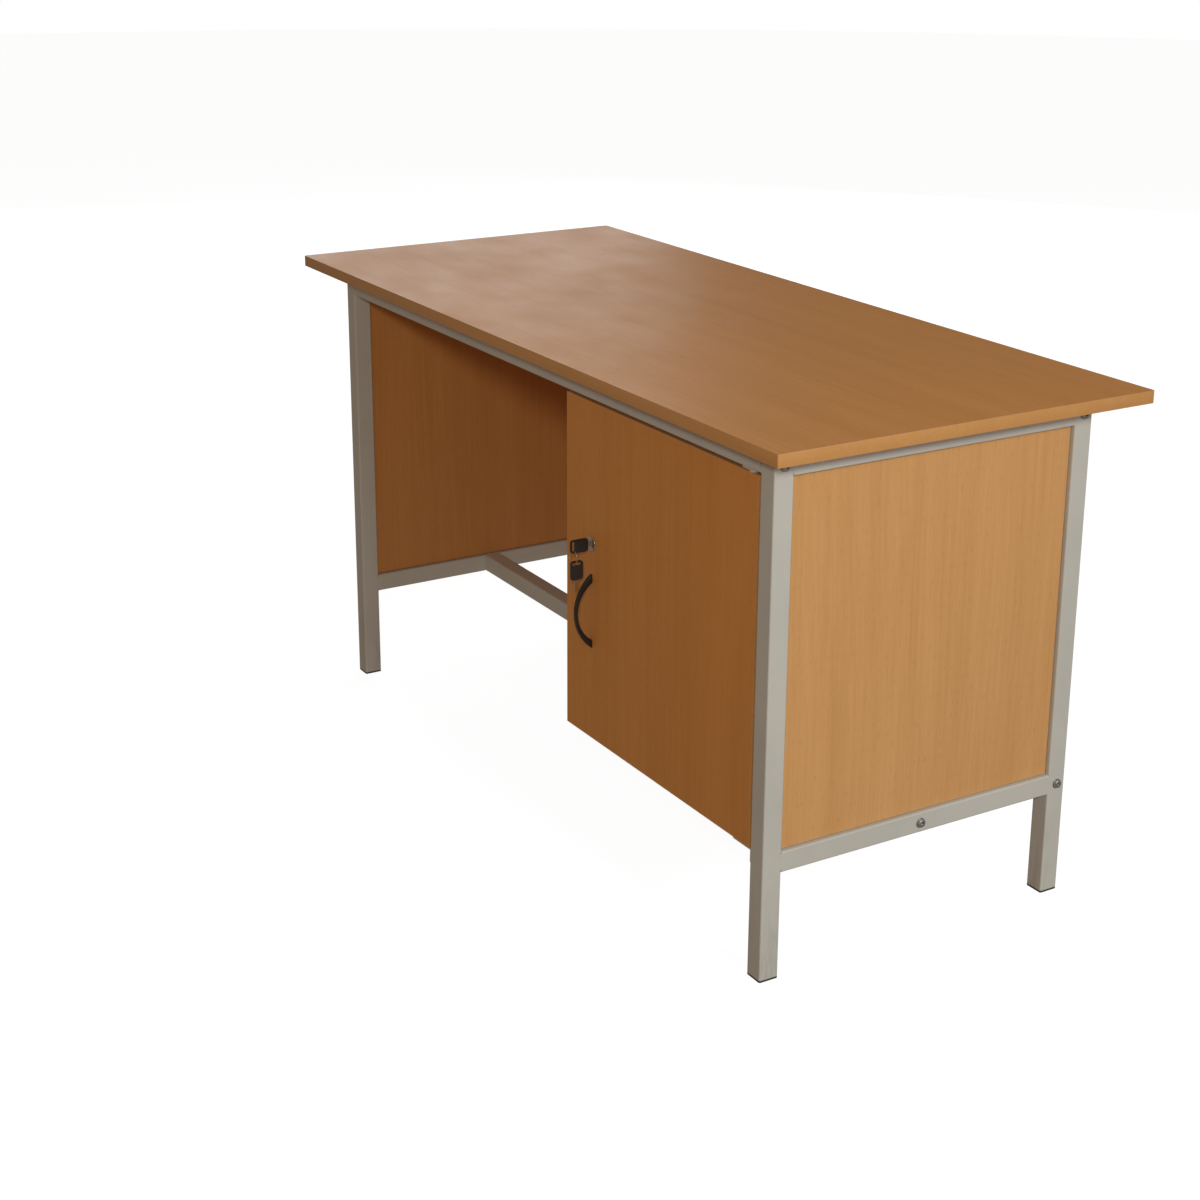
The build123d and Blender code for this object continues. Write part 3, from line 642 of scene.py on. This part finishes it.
pick(ring, "EDGE", lambda at, way: abs(way.z) < 0.1 and within(at, band * 0.9))
bpy.ops.mesh.bridge_edge_loops()
pick(ring, "EDGE", lambda at, way: abs(way.z) > 0.9 and abs(at.x) > band_high[0] - band / 2)
bpy.ops.mesh.bevel(offset=corner_round, segments=4, affect="EDGES")
pick(ring, "EDGE", lambda at, way: abs(way.z) < 0.1 and not within(at, band * 0.8))
bpy.ops.mesh.bevel(offset=long_round, segments=3, affect="EDGES", clamp_overlap=True)
close_piece(ring, top_band, "desk", 40)
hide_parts("top_edge_bands")

# %% [markdown]
# ### Welds
# The end rails are welded between the legs. The seam is a line of overlapping drops
# that is sprayed over with the rest of the frame, so it shows only as a rippled ridge
# in the groove between the two tubes. One bead is modelled and copied to every seam.

# %% One bead
bead_r, bead_length, drops = 0.0015, 0.024, 10
drop_swell, end_taper = 1.28, 0.6
half_drop = bead_length / (2 * drops)
bpy.ops.object.select_all(action="DESELECT")
bpy.ops.mesh.primitive_cylinder_add(vertices=12, radius=bead_r, depth=bead_length)
bead = bpy.context.object
bead.name = "weld_bead"
bpy.ops.object.mode_set(mode="EDIT")
pick(bead, "EDGE", lambda at, way: abs(way.z) > 0.9)
bpy.ops.mesh.subdivide(number_cuts=2 * drops - 1)
pick(bead, "EDGE", lambda at, way: abs(way.z) < 0.1
     and round((at.z + bead_length / 2) / half_drop) % 2 == 1)
bpy.ops.transform.resize(value=(drop_swell, drop_swell, 1.0), center_override=(0, 0, 0))
pick(bead, "EDGE", lambda at, way: abs(way.z) < 0.1 and abs(at.z) > bead_length / 2 - 1e-5)
bpy.ops.transform.resize(value=(end_taper, end_taper, 1.0), center_override=(0, 0, 0))
bpy.ops.mesh.select_all(action="SELECT")
bpy.ops.mesh.normals_make_consistent(inside=False)
bpy.ops.object.mode_set(mode="OBJECT")
bpy.ops.object.shade_smooth_by_angle(angle=math.radians(60))
print("bead", bead_length * 1000, "mm long,", len(bead.data.polygons), "faces")

# %% [markdown]
# ### Beads in the seams
# A rail's end meets its leg on four sides. The two upright seams at each end get a bead,
# and the low rails, whose undersides can be seen, get one below as well. The seams are
# found from the rails' own boxes, so they follow the rails.

# %% Beads in the seams
seams = {}
for side in ("left", "right"):
    for level in ("top", "bottom"):
        rail_low, rail_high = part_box(f"{side}_end_{level}_rail")
        for y in (rail_low[1], rail_high[1]):
            for x in (rail_low[0] + bead_r, rail_high[0] - bead_r):
                seams[f"weld_{len(seams):02d}"] = Matrix.Translation(
                    (x, y, (rail_low[2] + rail_high[2]) / 2))
lying = Matrix.Rotation(math.radians(90), 4, "Y")
for side in ("left", "right"):
    rail_low, rail_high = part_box(f"{side}_end_bottom_rail")
    for y in (rail_low[1], rail_high[1]):
        under = Matrix.Translation(((rail_low[0] + rail_high[0]) / 2, y, rail_low[2]))
        seams[f"weld_under_{side}_{y > 0}"] = under @ lying
for name, place in seams.items():
    dress(copy_of(bead, name, place), grey, "desk")
bpy.data.objects.remove(bead)
print(len(seams), "welds")

# %% [markdown]
# ### Key heads
# The key's head is moulded over its blade, with a shallow panel and finger ribs on both
# faces and a slot for the ring. The box is rounded first and its panel sunk, and the slot
# is cut last with a boolean, which keeps the earlier bevels clean.


# %% Moulded key head
corner, rim, panel_depth = 0.0044, 0.0016, 0.0004
rib_count, rib_pitch, first_rib, rib_size = 4, 0.0032, 0.0075, (0.0008, 0.0013, 0.0105)
slot_from, slot_to, slot_half, slot_corner = 0.003, 0.007, 0.007, 0.0011
past_face = 0.002
head_low, head_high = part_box("key_head")
mid_x = (head_low[0] + head_high[0]) / 2
mid_z = (head_low[2] + head_high[2]) / 2
rib_x = (head_high[0] - head_low[0]) / 2 - 0.0005
head = start_box("moulded_key_head", head_low, head_high)
pick(head, "EDGE", lambda at, way: abs(way.x) > 0.9)
bpy.ops.mesh.bevel(offset=corner, segments=6, affect="EDGES")
pick(head, "FACE", lambda at, way: abs(way.x) > 0.9)
bpy.ops.mesh.inset(thickness=rim)
bpy.ops.mesh.inset(thickness=panel_depth, depth=-panel_depth)
for rib in range(rib_count):
    rib_y = head_high[1] - first_rib - rib * rib_pitch
    for face in (-1, 1):
        bpy.ops.mesh.primitive_cube_add(
            size=1, location=(mid_x + face * rib_x, rib_y, mid_z), scale=rib_size)
bpy.ops.object.mode_set(mode="OBJECT")
cutter = start_box(
    "slot_cutter",
    (head_low[0] - past_face, head_low[1] + slot_from, mid_z - slot_half),
    (head_high[0] + past_face, head_low[1] + slot_to, mid_z + slot_half))
pick(cutter, "EDGE", lambda at, way: abs(way.x) > 0.9)
bpy.ops.mesh.bevel(offset=slot_corner, segments=3, affect="EDGES")
bpy.ops.object.mode_set(mode="OBJECT")
cut_out(head, cutter)
soften = head.modifiers.new("soften", "BEVEL")
soften.width, soften.segments, soften.limit_method = 0.0002, 2, "ANGLE"
bpy.ops.object.modifier_apply(modifier=soften.name)
bpy.ops.object.mode_set(mode="EDIT")
close_piece(head, black_plastic, "lock_barrel", 40)
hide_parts("key_head")

# %% [markdown]
# ### The spare key's head
# The spare key is cut from the same blank, so its head is the same moulding. It hangs
# from the ring, blade down. The finished head is copied and turned a quarter about X, so
# that its slot comes to the top, which is surer than modelling it a second time.

# %% The spare key's head, turned to hang
spare_low, spare_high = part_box("spare_key_head")
turn_down = Matrix(((1, 0, 0, (spare_low[0] + spare_high[0]) / 2 - mid_x),
                    (0, 0, 1, (spare_low[1] + spare_high[1]) / 2 - mid_z),
                    (0, -1, 0, spare_high[2] + head_low[1]),
                    (0, 0, 0, 1)))
spare = copy_of(head, "moulded_spare_head", turn_down)
dress(spare, black_plastic, "spare_keys")
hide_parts("spare_key_head")
print("spare head between", [round(v, 4) for v in spare_low],
      "and", [round(v, 4) for v in spare_high])

# %% [markdown]
# ### The spare key's blade
# A cut key has notches of different depths along one edge. Small square bars, turned so
# that a corner leads, are taken out of a plain strip, as the key cutter's wheel does.
# Moving points by hand would be quicker, but each notch here keeps a true V.

# %% Cut blade
notch_depths = (0.0012, 0.0020, 0.0009, 0.0017, 0.0013)
first_notch, notch_pitch, notch_spread, wheel_width = 0.004, 0.0038, 1.4, 0.006
blade_low, blade_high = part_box("spare_key_blade")
blade = start_box("cut_spare_blade", blade_low, blade_high)
bpy.ops.object.mode_set(mode="OBJECT")
for index, depth in enumerate(notch_depths):
    bpy.ops.object.select_all(action="DESELECT")
    bpy.ops.mesh.primitive_cylinder_add(
        vertices=4, radius=depth * notch_spread, depth=wheel_width,
        rotation=(0, math.radians(90), 0),
        location=((blade_low[0] + blade_high[0]) / 2, blade_high[1],
                  blade_low[2] + first_notch + index * notch_pitch))
    wheel = bpy.context.object
    bpy.ops.object.transform_apply(location=True, rotation=True, scale=True)
    cut_out(blade, wheel)
bpy.ops.object.mode_set(mode="EDIT")
close_piece(blade, nickel, "spare_keys", 20)
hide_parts("spare_key_blade")
